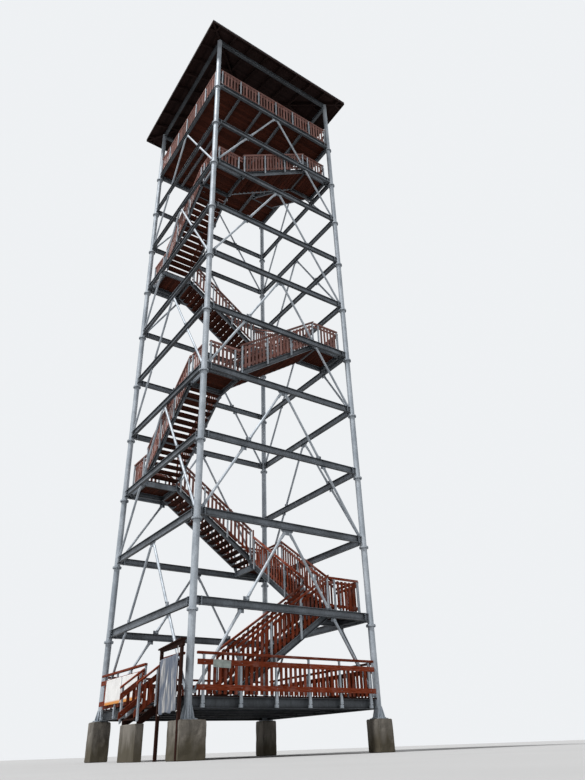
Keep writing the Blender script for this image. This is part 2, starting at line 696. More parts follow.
def strips(bm, across, width, gap):
    """Cuts a solid into boards side by side. Across points from one board to the next."""
    across = Vector(across)
    places = [v.co.dot(across) for v in bm.verts]
    low, high = min(places), max(places)
    count = max(1, round((high - low + gap) / (width + gap)))
    width = (high - low + gap) / count - gap
    for i in range(count):
        start = low + i * (width + gap)
        strip = bm.copy()
        if i:
            cut(strip, across * start, -across)
        if i < count - 1:
            cut(strip, across * (start + width), across)
        yield strip
    bm.free()


class Carving:
    """One piece in the making, from solids that are cut to their shape."""

    def __init__(self, name, maker, along=None):
        self.name, self.maker, self.along = name, maker, along
        self.points, self.faces, self.grain, self.tone = [], [], [], []
        self.random = random.Random(name)

    def take(self, bm, eased=0.0):
        """Adds a solid as a board of its own tone. Its grain runs along its longest edge."""
        if not bm.faces:
            bm.free()
            return
        longest = max(bm.edges, key=lambda e: e.calc_length())
        along = self.along or (longest.verts[1].co - longest.verts[0].co).normalized()
        side = along.cross(Vector((0, 0, 1)) if abs(along.z) < 0.8 else Vector((0, 1, 0))).normalized()
        axes = Matrix((along, side, along.cross(side)))
        if eased:
            sharp = [e for e in bm.edges if e.is_manifold and e.calc_face_angle() > 0.2]
            bmesh.ops.bevel(bm, geom=sharp, offset=eased, segments=1, affect="EDGES",
                            clamp_overlap=True)
        bm.verts.index_update()
        first = len(self.points)
        origin = axes @ bm.verts[:][0].co
        tone = self.random.random()
        for v in bm.verts:
            self.points.append(v.co.copy())
            self.grain.append(axes @ v.co - origin)
            self.tone.append(tone)
        self.faces += [[first + v.index for v in face.verts] for face in bm.faces]
        bm.free()

    def settle(self, face=0, nodes=()):
        """Turns the solids into one mesh on its face."""
        if not self.faces:
            raise RuntimeError(f"{self.name} came out empty")
        mesh = bpy.data.meshes.new(self.name)
        mesh.from_pydata(self.points, [], self.faces)
        mesh.attributes.new("grain", "FLOAT_VECTOR", "POINT").data.foreach_set(
            "vector", [x for vector in self.grain for x in vector])
        mesh.attributes.new("tone", "FLOAT", "POINT").data.foreach_set("value", self.tone)
        mesh.materials.append(finish(self.maker))
        mesh.transform(face_matrix(face))
        return place(put(self.name, mesh), self.maker, nodes)


def dress(maker, *nodes):
    """Gives CAD nodes that show as they are their finish."""
    for name in nodes:
        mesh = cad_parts[name].data
        mesh.materials.clear()
        mesh.materials.append(finish(maker))


def spread(a, b, count):
    """Places from a to b at equal distances."""
    return [a + (b - a) * i / (count - 1) for i in range(count)]


# Steel frame

def level(n):
    """Height of a level."""
    s = settings("frame")
    return s.datum + n * s.level


def make_leg(k):
    """Leg tube with its ring flanges in pairs, base plate, fins and bolts."""
    s = settings("frame")
    name = f"leg_{LEGS[k]}"
    low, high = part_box(name)
    radius, wide, half = s.leg_radius, s.flange_radius, s.flange_depth / 2
    weld, chamfer, groove, groove_depth = 0.010, 0.003, 0.0025, 0.025
    outline = [(radius, half + weld), (radius + weld, half), (wide - chamfer, half),
               (wide, half - chamfer), (wide, groove), (wide - groove_depth, groove)]
    foot = low.z + s.plate_depth
    profile = [(radius, foot)]
    for n in range(1, TOP_LEVEL + 1):
        for way in (-1, 1):
            profile += [(r, level(n) + way * drop) for r, drop in outline[::-way]]
    profile.append((radius, high.z))
    steel = Assembly(f"{name}_tube", hot_dip_zinc, 10 * k)
    steel.row(pattern(turned(profile, 40), smooth=True))
    edge = s.plate / 2
    steel.row(board((-edge, -edge, low.z), (edge, edge, foot)))
    inner, outer, thick = radius - 0.004, edge - 0.01, 0.012
    fin = plate([(inner, foot), (outer, foot), (outer, foot + 0.03), (radius + 0.015, foot + s.fin),
                 (inner, foot + s.fin)], -thick / 2, thick / 2, eased=0.0015)
    eighth = (0, 0, QUARTER / 2)
    steel.row(fin, 8, turn_step=eighth)
    steel.settle(k, (name,))
    bolts = Assembly(f"{name}_bolts", zinc_bolts, 10 * k)
    circle = (radius + wide) / 2 + 0.004
    for way in (-1, 1):
        head = bolt_head((circle, 0, level(1) + way * half), 2, s.bolt, way)
        bolts.row(head, s.flange_bolts, turn_step=(0, 0, 2 * math.pi / s.flange_bolts),
                  levels=TOP_LEVEL, level_step=(0, 0, s.level))
    anchor = bolt_head((edge * 1.05, 0, foot), 2, s.bolt * 1.3)
    bolts.row(anchor, 8, turn=(0, 0, QUARTER / 4), turn_step=eighth)
    bolts.settle(k)


def make_joints(k):
    """Bolts of the beams' joints, and the flat shoes that end the braces, on one face."""
    s = settings("frame")
    bolts = Assembly(f"joint_bolts_{FACES[k]}", zinc_bolts, 60 + k)
    shoes = Assembly(f"brace_shoes_{FACES[k]}", hot_dip_zinc, 80 + k)
    edge, inset, joint_plate = s.beam_width / 2 - 0.024, 0.05, 0.014
    foot = level(1) + s.beam_foot
    for centre in (s.joint, SPAN - s.joint):
        for way in (-1, 1):
            for y in (-edge, edge):
                head = bolt_head((centre + way * joint_plate, y, foot + inset), 0, s.bolt, way)
                bolts.row(head, 3, step=(0, 0, s.beam_depth / 2 - inset), levels=TOP_LEVEL,
                          level_step=(0, 0, s.level))
    # a shoe's middle keeps these distances from a leg, from the beams and from the face's middle
    off_leg, above, below, past, off_middle = 0.09, 0.07, 0.11, 0.13, 0.10
    lowest, drawn_back = 0.62, 0.09
    for n in range(0, TOP_LEVEL, 2):
        # a brace runs from over a beam's end, past the next beam, to the middle of the one above
        start = level(n) + (s.beam_foot + s.beam_depth + above if n else lowest)
        low = Vector((s.leg_radius + off_leg, start))
        high = Vector((MIDDLE - off_middle, level(n + 2) + s.beam_foot - below))
        run = (high - low).normalized()
        lean = math.atan2(run.x, run.y)
        beam = level(n + 1) + s.beam_foot
        crossings = [low + run * ((z - low.y) / run.y) for z in (beam - past, beam + s.beam_depth + past)]
        ends = [low, *crossings, high - run * drawn_back]
        for end, way in zip(ends, (1, -1, 1, -1)):
            outline = mirrored([(0.05, way * 0.16), (0.055, -way * 0.06), (0.03, -way * 0.11)])
            for flip in (1, -1):
                spot = {"start": (end.x if flip > 0 else SPAN - end.x, 0, end.y),
                        "turn": (0, flip * lean, 0)}
                shoes.row(plate(outline, -SHOE / 2, SHOE / 2, eased=0.002), **spot)
                for side in (-1, 1):
                    head = bolt_head((0, side * SHOE / 2, way * 0.025 - 0.03), 1, s.bolt, side)
                    bolts.row(head, 2, step=(0, 0, 0.06), **spot)
    bolts.settle(k)
    shoes.settle(k)


def make_footings():
    """Cast blocks with chamfered edges and a few chipped corners."""
    blocks = Carving("footing_blocks", weathered_concrete)
    chamfer, plate_room, chip_depth = 0.02, 0.25, 0.025
    for bm in solids_of("footings"):
        low, high = box_of(bm)
        bmesh.ops.bevel(bm, geom=bm.edges[:], offset=chamfer, segments=2, affect="EDGES")
        long = [e for e in bm.edges if e.calc_length() > 0.3]
        bmesh.ops.subdivide_edges(bm, edges=long, cuts=7, use_grid_fill=True)
        centre = (low + high) / 2
        for v in bm.verts:
            inwards = centre - v.co
            # the underside and the room of the base plate stay flat
            if v.co.z > low.z + 0.05 and max(abs(inwards.x), abs(inwards.y)) > plate_room:
                inwards.z *= 0.4
                chip = chip_depth * max(0.0, noise.fractal(v.co * 4, 0.6, 2.0, 4))
                v.co += inwards.normalized() * chip
        blocks.take(bm)
    blocks.settle(0, ("footings",))


class TOWER_OT_footings(bpy.types.Operator):
    """Concrete footings"""
    bl_idname = "tower.footings"
    bl_label = "Footings"

    def execute(self, context):
        make_footings()
        return {"FINISHED"}


class TOWER_OT_steel(bpy.types.Operator):
    """Legs with their flanges, beams and braces, and all their bolts"""
    bl_idname = "tower.steel"
    bl_label = "Steel frame"

    def execute(self, context):
        dress(hot_dip_zinc, "braces")
        dress(splashed_zinc, "deck_beams")
        dress(old_zinc, "platform_joists", "roof_beams", *[f"beams_{face}" for face in FACES])
        for k in range(4):
            make_leg(k)
            make_joints(k)
        return {"FINISHED"}


# Stair

def make_flight(n):
    """Steel stringers of a flight, and its treads of two planks each."""
    s = settings("stair")
    going = (SPAN - 2 * s.landing) / (s.risers - 1)
    riser = (FLOORS[n] - FLOORS[n - 1]) / s.risers
    face = (n - 1) % 4
    stringers = Carving(f"flight_{n}_stringers", old_zinc)
    for bm in solids_of(f"flight_{n}", face):
        low, high = box_of(bm)
        if high.z - low.z > 0.5:
            stringers.take(bm)
    stringers.settle(face, (f"flight_{n}",))
    near = s.outside + s.flange + 0.001
    far = s.outside + s.landing - near
    gap, back = s.gap * 1.3, 0.025
    plank = (going + back + s.nosing - gap) / 2
    treads = Assembly(f"flight_{n}_treads", trodden_softwood, 100 * n)
    top = FLOORS[n - 1] + riser
    for x in (s.landing - s.nosing, s.landing - s.nosing + plank + gap):
        tread = board((x, near, top - s.tread), (x + plank, far, top), axis=1)
        treads.row(tread, s.risers - 1, step=(going, 0, riser), play=0.0015)
    treads.settle(face)


def channel(x0, x1, y0, y1, top, depth):
    """Channel section along X. Its web is at y0, and its flanges reach to y1."""
    inner = y0 + (0.008 if y1 > y0 else -0.008)
    flange, root, foot = 0.011, 0.015, top - depth
    return plate([(y0, foot), (y1, foot), (y1, foot + flange), (inner, foot + root),
                  (inner, top - root), (y1, top - flange), (y1, top), (y0, top)], x0, x1, axis=0)


def make_landing(n):
    """Frame of channels and boards of a corner landing."""
    s = settings("stair")
    top = FLOORS[n] - s.floor
    near = settings("frame").beam_width / 2
    low, high = s.outside, s.landing
    steel = Assembly(f"landing_{n}_frame", old_zinc, 100 * n + 20)
    for web, toes in ((low, low + s.flange), (high, high - s.flange)):
        steel.row(channel(near, high, web, toes, top, s.channel))
        steel.row(channel(near, high, -web, -toes, top, s.channel), turn=(0, 0, QUARTER))
    steel.settle(n % 4)
    count = round((high - low + s.gap) / (s.board + s.gap))
    width = (high - low + s.gap) / count - s.gap
    boards = Assembly(f"landing_{n}_boards", trodden_softwood, 100 * n + 40)
    boards.row(board((low, low, top), (high, low + width, FLOORS[n])), count,
               step=(0, width + s.gap, 0), play=0.0015)
    boards.settle(n % 4, (f"landing_{n}",))


class TOWER_OT_stair(bpy.types.Operator):
    """Ten flights and nine landings"""
    bl_idname = "tower.stair"
    bl_label = "Stair"

    def execute(self, context):
        for n in range(1, TOP_LEVEL + 1):
            make_flight(n)
            if n < TOP_LEVEL:
                make_landing(n)
        return {"FINISHED"}


# Balustrades

class Balustrade:
    """Timber and steel of one balustrade, and bolts where they show. It is drawn along X with
    its outside at -Y, and turned about the leg's axis."""

    def __init__(self, name, seed, bolted=False):
        self.timber = Assembly(f"{name}_timber", stained_softwood, seed)
        self.steel = Assembly(f"{name}_posts", hot_dip_zinc, seed + 500)
        self.bolts = Assembly(f"{name}_bolts", zinc_bolts, seed + 50) if bolted else None

    def turn(self, turn):
        """Turns the rows that follow."""
        for part in (self.timber, self.steel, self.bolts):
            if part:
                part.turn = (0, 0, turn)

    def settle(self, face, nodes=()):
        if self.bolts:
            self.bolts.settle(face)
        self.timber.settle(face, nodes)
        self.steel.settle(face)

    def pickets(self, x0, x1, posts, y, low, high, slope=0.0):
        """Pickets from x0 to x1, evenly spaced in each bay between two posts' middles, and past
        the end posts."""
        s = settings("stair")
        marks = [post + s.post / 2 for post in posts]
        ends = [math.floor((room - s.picket) / s.pitch) for room in (marks[0] - x0, x1 - marks[-1])]
        bays = [(marks[0] - (ends[0] + 1) * s.pitch, s.pitch, ends[0]), (marks[-1], s.pitch, ends[1])]
        for a, b in zip(marks, marks[1:]):
            count = math.floor((b - a) / s.pitch + 0.02)
            bays.append((a, (b - a) / count, count - 1))
        for start, step, count in bays:
            if count > 0:
                x = start + step - s.picket / 2
                lift = slope * (x - x0)
                picket = board((x, y, low + lift), (x + s.picket, y + PICKET, high + lift), axis=2,
                               slope=slope, eased=PICKET_EASE)
                self.timber.row(picket, count, step=(step, 0, step * slope), play=0.002)

    def panel(self, x0, x1, base, slope, posts, foot, y, turn=0.0):
        """Rails, handrail, posts and pickets above the line that starts at base. The rails'
        outer side is at y, and the posts reach down by foot."""
        s = settings("stair")
        self.turn(turn)
        slant = math.sqrt(1 + slope * slope)
        height = s.flight_rail if slope else s.rail_height
        lower, upper, deep, picket_foot, picket_top = 0.110, height - 0.220, 0.085, 0.060, height - 0.110
        for low in (lower, upper):
            self.timber.row(board((x0, y, base + low * slant), (x1, y + RAIL, base + (low + deep) * slant),
                                  slope=slope))
        under = (height - s.handrail) * slant
        self.timber.row(board((x0, y - s.post, base + under), (x1, y + RAIL, base + height * slant),
                              slope=slope, eased=RAIL_EASE))
        self.pickets(x0, x1, posts, y - PICKET, base + picket_foot * slant, base + picket_top * slant,
                     slope)
        for x in posts:
            z = base + slope * (x - x0)
            self.steel.row(board((x, y - s.post, z - foot), (x + s.post, y, z + under), axis=2,
                                 slope=slope, eased=POST_EASE))


def flipped(posts):
    """Places of posts when they are drawn the other way along X."""
    return [-x - settings("stair").post for x in posts[::-1]]


def make_stair_balustrades(n):
    """Both sides of flight n, and the two open sides of the landing at its end."""
    s = settings("stair")
    clear, foot, first, last = 0.005, 0.150, 0.04, 0.10
    corner = s.post + 2 * clear
    riser = (FLOORS[n] - FLOORS[n - 1]) / s.risers
    slope = riser * (s.risers - 1) / (SPAN - 2 * s.landing)
    low, high = s.landing + clear, SPAN - s.landing - clear
    start = FLOORS[n - 1] + riser - s.landing * slope
    face = (n - 1) % 4
    outer = Balustrade(f"balustrade_{n}_outer", 1000 + 100 * n)
    outer.panel(low, high, start + low * slope, slope, spread(low + first, high - last, 4), foot,
                s.outside)
    outer.settle(face, (f"balustrade_{n}",))
    # the inner side is seen from the well: half a turn, so that it climbs towards -X
    low, high = low + corner, high - corner
    inner = Balustrade(f"balustrade_{n}_inner", 1050 + 100 * n)
    inner.panel(-high, -low, start + high * slope, -slope, flipped(spread(low + first, high - last, 4)),
                foot, -s.landing, 2 * QUARTER)
    inner.settle(face)
    if n == TOP_LEVEL:
        return
    low, high = s.outside + s.flange, s.landing - clear
    posts = [s.outside + 0.09, s.landing - 0.26]
    newel_top = FLOORS[n] + 1.43
    landing = Balustrade(f"balustrade_{n}_landing", 1080 + 100 * n)
    landing.panel(low, high, FLOORS[n], 0.0, posts, s.channel, s.outside)
    landing.panel(-high, -low, FLOORS[n], 0.0, flipped(posts), s.channel, s.outside, -QUARTER)
    landing.turn(0.0)
    far = s.landing - 0.003
    near = far - s.post
    landing.timber.row(board((near, near, FLOORS[n]), (far, far, newel_top), axis=2, eased=0.008))
    landing.settle(n % 4)


class TOWER_OT_balustrades(bpy.types.Operator):
    """Balustrades of the flights and landings"""
    bl_idname = "tower.balustrades"
    bl_label = "Stair balustrades"

    def execute(self, context):
        for n in range(1, TOP_LEVEL + 1):
            make_stair_balustrades(n)
        return {"FINISHED"}


# Deck

def make_floor_boards(node, across, along):
    """Boards of a floor, cut from its CAD slab so that they clear the legs and the stairwell."""
    s = settings("stair")
    boards = Carving(f"{node}_boards", trodden_softwood, along=Vector(along))
    for bm in solids_of(node):
        for strip in strips(bm, across, s.board, s.gap):
            boards.take(strip)
    boards.settle(0, (node,))


def plank_sides():
    """Outer and inner side of the deck's wide planks."""
    inner = -settings("deck").edge - settings("stair").post
    return inner - PLANK, inner


def deck_panel(side, x0, x1, posts, joint=None):
    """Wide planks outside, and posts and pickets behind them. The planks may be in two lengths
    that meet at a joint."""
    floor = FLOORS[0]
    s = settings("stair")
    front, back = plank_sides()
    ends = [x0, x1] if joint is None else [x0, joint, x1]
    for low, high in DECK_PLANKS:
        for a, b in zip(ends, ends[1:]):
            side.timber.row(board((a, front, floor + low), (b - 0.004, back, floor + high)), play=0.001)
    top = floor + s.rail_height
    side.timber.row(board((x0, front, top - s.handrail), (x1, back + 0.070, top), eased=RAIL_EASE))
    side.pickets(x0, x1, posts, back, floor + 0.020, floor + 0.890)
    for x in posts:
        make_deck_post(side, x)


def make_deck_post(side, x):
    """Steel post, its bracket on the edge beam's face, and the plate under the handrail."""
    s = settings("stair")
    floor = FLOORS[0]
    front, back = plank_sides()
    top = floor + s.rail_height - s.handrail
    # half widths of the bracket, of its upper end and bolt rows, and of the plate on the post
    middle, half, neck, cap = x + s.post / 2, 0.056, 0.034, 0.050
    outer, inner = back - 0.010, back + s.post
    side.steel.row(board((x, back, floor - 0.300), (x + s.post, inner, top), axis=2, eased=POST_EASE))
    outline = mirrored([(neck, 0.04), (half, -0.16), (half, -0.195)])
    side.steel.row(plate(outline, outer, back, eased=0.002), start=(middle, 0, floor))
    side.steel.row(board((middle - half, outer, floor - 0.305), (middle + half, inner, floor - 0.222),
                         eased=0.003))
    side.steel.row(board((middle - cap, back + 0.002, top - 0.008), (middle + cap, back + 0.066, top),
                         eased=0.002))
    for z in (floor - 0.145, floor - 0.264):
        side.bolts.row(bolt_head((middle - neck, outer, z), 1, 0.014, -1), 2, step=(2 * neck, 0, 0))
    for z in (floor + 0.187, floor + 0.828):
        side.bolts.row(bolt_head((middle, front, z), 1, 0.010, -1))


def make_deck_balustrade():
    """Balustrades round the deck, with the entrance left open."""
    d = settings("deck")
    post = settings("stair").post
    first = (SPAN - post - 5 * d.post_pitch) / 2
    posts = [first + i * d.post_pitch for i in range(6)]
    for k in range(4):
        side = Balustrade(f"deck_balustrade_{FACES[k]}", 3000 + 100 * k, bolted=True)
        if k < 3:
            # the planks meet over the middle of the fourth post
            deck_panel(side, d.end, SPAN - d.end, posts, posts[3] + post / 2)
        else:
            far = d.entrance + d.entrance_width
            deck_panel(side, d.end, d.entrance, spread(first, d.entrance - post, 4))
            deck_panel(side, far, SPAN - d.end, [far, posts[-1]])
        side.settle(k, ("deck_balustrade",))


def make_bare_plate():
    """Small plate screwed to the deck's upper plank, a little askew."""
    made = Assembly("bare_plate", painted_plate, 3500)
    screws = Assembly("bare_plate_screws", zinc_bolts, 3510)
    spot = {"start": (0.925, plank_sides()[0], FLOORS[0] + 0.79), "turn": (0, math.radians(1.6), 0)}
    wide, high, thick, inset = 0.285, 0.10, 0.004, 0.030
    made.row(board((-wide, -thick, -high), (wide, 0.0, high), eased=0.0015), **spot)
    for z in (-0.075, 0.075):
        screws.row(bolt_head((inset - wide, -thick, z), 1, 0.007, -1), 2,
                   step=(2 * (wide - inset), 0, 0), **spot)
    made.settle()
    screws.settle()


class TOWER_OT_deck(bpy.types.Operator):
    """Floor and balustrades of the ground deck"""
    bl_idname = "tower.deck"
    bl_label = "Deck"

    def execute(self, context):
        make_floor_boards("deck_floor", across=(1, 0, 0), along=(0, 1, 0))
        make_deck_balustrade()
        make_bare_plate()
        return {"FINISHED"}


def make_entrance_steps():
    """Side boards and treads of the entrance steps, on their concrete block."""
    block = Carving("entrance_steps_block", weathered_concrete)
    sides = Carving("entrance_steps_sides", trodden_softwood)
    treads = []
    for bm in solids_of("entrance_steps", 3):
        low, high = box_of(bm)
        if low.z < 0.01:
            block.take(bm, eased=0.015)
        elif high.x - low.x < 0.2:
            sides.take(bm, eased=0.004)
        else:
            treads.append((low, high))
            bm.free()
    block.settle(3)
    sides.settle(3)
    planks = Assembly("entrance_steps_treads", trodden_softwood, 3600)
    half_gap = settings("stair").gap / 2
    for low, high in treads:
        middle = (low.y + high.y) / 2
        planks.row(board(low, (high.x, middle - half_gap, high.z)))
        planks.row(board((low.x, middle + half_gap, low.z), high))
    planks.settle(3, ("entrance_steps",))


def make_entrance_balustrade():
    """Sloped balustrades beside the entrance steps. They are drawn along X, away from the deck,
    and turned to run away from the face."""
    d, s = settings("deck"), settings("stair")
    near, far, slope = d.edge + s.post + PLANK + 0.005, 0.86, -0.75
    top, overhang = 0.960, 0.02
    under = top - s.handrail
    side = Balustrade("entrance_balustrade", 3700, bolted=True)
    side.turn(-QUARTER)

    def bar(part, x, width, ys, low, high, **shape):
        """Adds a sloped bar from x on, between heights above the line down from the deck."""
        line = FLOORS[0] + slope * (x - near)
        part.row(board((x, min(ys), line + low), (x + width, max(ys), line + high), slope=slope, **shape))

    for edge, way in ((d.entrance - 0.010, -1), (d.entrance + d.entrance_width + 0.010, 1)):
        front, back = edge - way * PLANK, edge + way * s.post
        for low, high in ((0.055, 0.240), (0.560, 0.745)):
            bar(side.timber, near, far - near, (front, edge), low, high)
        bar(side.timber, near - overhang, far - near + overhang, (front, back),
            under + slope * overhang, top + slope * overhang, eased=RAIL_EASE)
        for x in (near + 0.207, near + 0.380):
            bar(side.timber, x, s.picket, (edge, edge + way * PICKET), 0.080, 0.720, axis=2,
                eased=PICKET_EASE)
        for x in (near + 0.050, far - 0.120):
            bar(side.steel, x, s.post, (edge, back), -0.100, under, axis=2, eased=POST_EASE)
            middle = x + s.post / 2
            for z in (0.13, 0.65):
                spot = (middle, front, FLOORS[0] + z + slope * (middle - near))
                side.bolts.row(bolt_head(spot, 1, 0.010, -way))
    side.settle(3, ("entrance_balustrade",))


class TOWER_OT_entrance(bpy.types.Operator):
    """Steps up to the deck and their balustrades"""
    bl_idname = "tower.entrance"
    bl_label = "Entrance"

    def execute(self, context):
        make_entrance_steps()
        make_entrance_balustrade()
        return {"FINISHED"}


# Sheets

def sheet(name, maker, columns, rows, shape, nodes=()):
    """Sheet of one layer of points, given its real thickness. shape(u, v) gives each point, and
    a number that the finish reads, from the left top corner."""
    spots = [shape(i / columns, j / rows) for j in range(rows + 1) for i in range(columns + 1)]
    starts = [j * (columns + 1) + i for j in range(rows) for i in range(columns)]
    mesh = bpy.data.meshes.new(name)
    mesh.from_pydata([point for point, _ in spots], [],
                     [(a, a + columns + 1, a + columns + 2, a + 1) for a in starts])
    notes = [note for _, note in spots]
    mesh.attributes.new("note", "FLOAT", "POINT").data.foreach_set("value", notes)
    mesh.shade_smooth()
    mesh.materials.append(finish(maker))
    mesh.transform(face_matrix(3))
    made = put(name, mesh)
    thick = made.modifiers.new("Thickness", "SOLIDIFY")
    thick.thickness = SHEET_THICKNESS
    thick.offset = 0.0
    return place(made, maker, nodes)


def make_notice_timbers(foot, head, middle):
    """Square posts under a head and a sloping cap of dark timber. They stand inside the solids'
    reach, at the width that shows."""
    s = settings("deck")
    half = s.notice_post / 2
    front, back = middle - half, middle + half
    timbers = Assembly("notice_board_timber", dark_softwood, 3780)
    for x in (s.notice_left, s.notice_right):
        timbers.row(board((x - half, front, foot), (x + half, back, head), axis=2, eased=POST_EASE))
    left, right = s.notice_left - half - 0.01, s.notice_right + half + 0.06
    rise, thick, lip = 0.075, 0.042, 0.045
    low = head + 0.055
    high = low + rise * (right - left)
    timbers.row(plate([(left, head), (right, head), (right, high), (left, low)], front, back,
                      eased=0.004))
    under = low - rise * lip
    timbers.row(board((left - lip, front - lip, under), (right, back + lip, under + thick), slope=rise))
    timbers.settle(3, ("notice_board",))


def make_notice_sheet(low, high, head, front):
    """Thin sheet tied between the posts by its corners, drawn into upright folds."""
    s = settings("deck")
    half = s.notice_post / 2
    left, right = s.notice_left + half + 0.05, s.notice_right - half + 0.01

    def shape(u, v):
        # the sides are drawn in between the tied corners
        inwards = 0.035 * math.sin(math.pi * min(v * 1.15, 1.0))
        x = left + (right - left) * (u + inwards * (1 - 2 * u)) + 0.12 * v * v * (1 - u)
        # the top sags and the foot waves
        sag = 0.035 * math.sin(math.pi * u) * (1 - v) ** 3 + 0.05 * (1 - u) ** 6 * (1 - v)
        z = high.z - 0.01 - sag + 0.02 * (u - 0.5) - (high.z - low.z - 0.045) * v
        z -= 0.02 * math.sin(4 * math.pi * u) * v ** 4
        # upright folds wander, and lie flat where the ties hold them
        wander = noise.noise(Vector((u * 1.8, v * 1.1, 4.0))) * 0.7
        run = 3.3 * (u + 0.10 * v) + wander
        wave = math.sin(2 * math.pi * run) + 0.45 * math.sin(2 * math.pi * (2.1 * run + 0.3))
        held = min(1.0, 6 * u, 6 * (1 - u)) * (0.35 + 0.65 * min(1.0, 3 * v))
        fine = 0.006 * noise.noise(Vector((x * 9, 0, z * 3)))
        belly = math.exp(-((u - 0.58) / 0.22) ** 2 - ((v - 0.12) / 0.30) ** 2)
        y = front - 0.034 + s.sheet_fold * wave * held + fine
        return (x, y, z), 0.5 + 0.30 * wave * held + 0.35 * belly

    made = sheet("notice_sheet", thin_white_sheet, 90, 60, shape)
    ties = Assembly("notice_sheet_ties", thin_white_sheet, 3800)
    for u, v, reach in ((0, 0, -0.09), (0, 1, -0.09), (1, 1, 0.07)):
        (x, y, z), _ = shape(u, v)
        a, b = sorted((x, x + reach))
        ties.row(board((a, front - 0.030, z - 0.014), (b, front - 0.0285, z + 0.014),
                       slope=0.25 if u else -0.25, eased=0.0006))
    # the right top corner is drawn out into a strip that goes up to the head
    (x, y, z), _ = shape(1, 0)
    foot, top = z - 0.02, head + 0.02
    ties.row(plate([(x - 0.10, foot), (x + 0.002, foot), (x - 0.015, top), (x - 0.055, top)], y - 0.002, y))
    tied = ties.settle(3)


def make_notice_board():
    """Timbers of the notice board and its sheet, in the places of their solids."""
    solids = [box_of(bm) for bm in solids_of("notice_board", 3)]
    low, high = next(box for box in solids if box[1].y - box[0].y < 0.05)
    head = max(solids, key=lambda box: box[1].z)
    middle = (head[0].y + head[1].y) / 2
    make_notice_timbers(min(box[0].z for box in solids), head[0].z, middle)
    make_notice_sheet(low, high, head[0].z, middle - settings("deck").notice_post / 2)


def make_banner():
    """White panel on the deck's balustrade, with a band along its foot, a seam and eyelets."""
    low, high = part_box("banner")
    band_top = low.z + settings("deck").banner_band
    # on face 3, +Y of the tower is -X of the drawing
    left, right = SPAN - high.y, SPAN - low.y
    wide, tall = right - left, high.z - low.z
    front = plank_sides()[0]
    seam, hem_width, inset, count = left + 0.52 * wide, 0.03, 0.03, 7

    def shape(u, v):
        x, z = left + wide * u, high.z - tall * v
        ripple = noise.noise(Vector((x * 3.1, 1.0, z * 2.2)))
        slack = 0.0022 * ripple + 0.0012 * math.sin(2 * math.pi * (5.2 * x + z))
        hem = 0.0006 if min(u * wide, (1 - u) * wide, v * tall, (1 - v) * tall) < hem_width else 0.0
        lap = 0.0014 if abs(x - seam) < 0.025 else 0.0
        band = -1.0 if lap else min(1.0, max(0.0, (band_top - z) / 0.05 + 0.5))
        return (x, front - 0.0042 + slack - hem - lap, z), band

    made = sheet("banner_sheet", coated_sheet, 137, 39, shape, ("banner",))
    eyelets = Assembly("banner_eyelets", zinc_bolts, 3900)
    for z in (low.z + 0.018, high.z - 0.018):
        ring = turned([(0.009, 0.0), (0.016, 0.0), (0.015, 0.0012), (0.010, 0.0014)], 10)
        first = Matrix.Translation((left + inset, front - 0.0055, z))
        ring.transform(first @ Matrix.Rotation(QUARTER, 4, "X"))
        eyelets.row(pattern(ring), count, step=((wide - 2 * inset) / (count - 1), 0, 0))
    rings = eyelets.settle(3)


class TOWER_OT_sheets(bpy.types.Operator):
    """Notice board with its sheet, and the panel on the deck's balustrade"""
    bl_idname = "tower.sheets"
    bl_label = "Notice board and panel"

    def execute(self, context):
        make_notice_board()
        make_banner()
        return {"FINISHED"}


# Platform

def make_platform_balustrade():
    """Balustrades over the main beams and on two sides of the stairwell."""
    s, f = settings("stair"), settings("frame")
    floor = FLOORS[TOP_LEVEL]
    start = f.leg_radius + 0.02
    for k in range(4):
        side = Balustrade(f"platform_balustrade_{FACES[k]}", 4000 + 100 * k)
        side.panel(start, SPAN - start, floor, 0.0, spread(start + 0.06, SPAN - start - 0.12, 7), 0.0, 0.0)
        side.settle(k, ("platform_balustrade",))
    guard = s.landing + 2 * s.post + 0.020
    a, b = s.landing, SPAN - s.landing
    inner = Balustrade("platform_balustrade_stairwell", 4500)
    inner.panel(a, b, floor, 0.0, spread(a + 0.06, b - 0.12, 4), 0.0, guard)
    edge = f.beam_width + 0.01
    inner.panel(edge, guard, floor, 0.0, spread(edge + 0.06, guard - 0.11, 3), 0.0,
                s.post + 0.005 - s.landing, QUARTER)
    inner.settle(1)


class TOWER_OT_platform(bpy.types.Operator):
    """Floor boards and balustrades of the lookout platform"""
    bl_idname = "tower.platform"
    bl_label = "Platform"

    def execute(self, context):
        make_floor_boards("platform_floor", across=(0, 1, 0), along=(1, 0, 0))
        make_platform_balustrade()
        return {"FINISHED"}


# Roof

def make_roof_covering():
    """Boards and sheet of the four sides, both cut from the CAD covering."""
    s = settings("roof")
    up = Vector((0, math.cos(s.pitch), math.sin(s.pitch)))
    out = Vector((0, -math.sin(s.pitch), math.cos(s.pitch)))
    boards = Carving("roof_boards", roof_softwood)
    sheets = Carving("roof_sheets", roof_sheet)
    width, gap, air = settings("stair").board, 0.004, 0.002
    for k in range(4):
        back = face_matrix(k)
        boards.along = (back.to_3x3() @ Vector((1, 0, 0))).normalized()
        for bm in solids_of("roof", k):
            low, high = box_of(bm)
            if (low.y + high.y) / 2 > MIDDLE - 1 or abs((low.x + high.x) / 2 - MIDDLE) > 1:
                bm.free()
                continue
            # the underside is the plane through the eaves' lowest points
            foot = min((v.co for v in bm.verts), key=lambda co: co.dot(out)).copy()
            upper = bm.copy()
            cut(upper, foot + out * s.boards, -out)
            cut(bm, foot + out * (s.boards - air), out)
            for strip in strips(bm, up, width, gap):
                strip.transform(back)
                boards.take(strip)
            upper.transform(back)
            sheets.take(upper)
    boards.settle()
    sheets.settle(0, ("roof",))


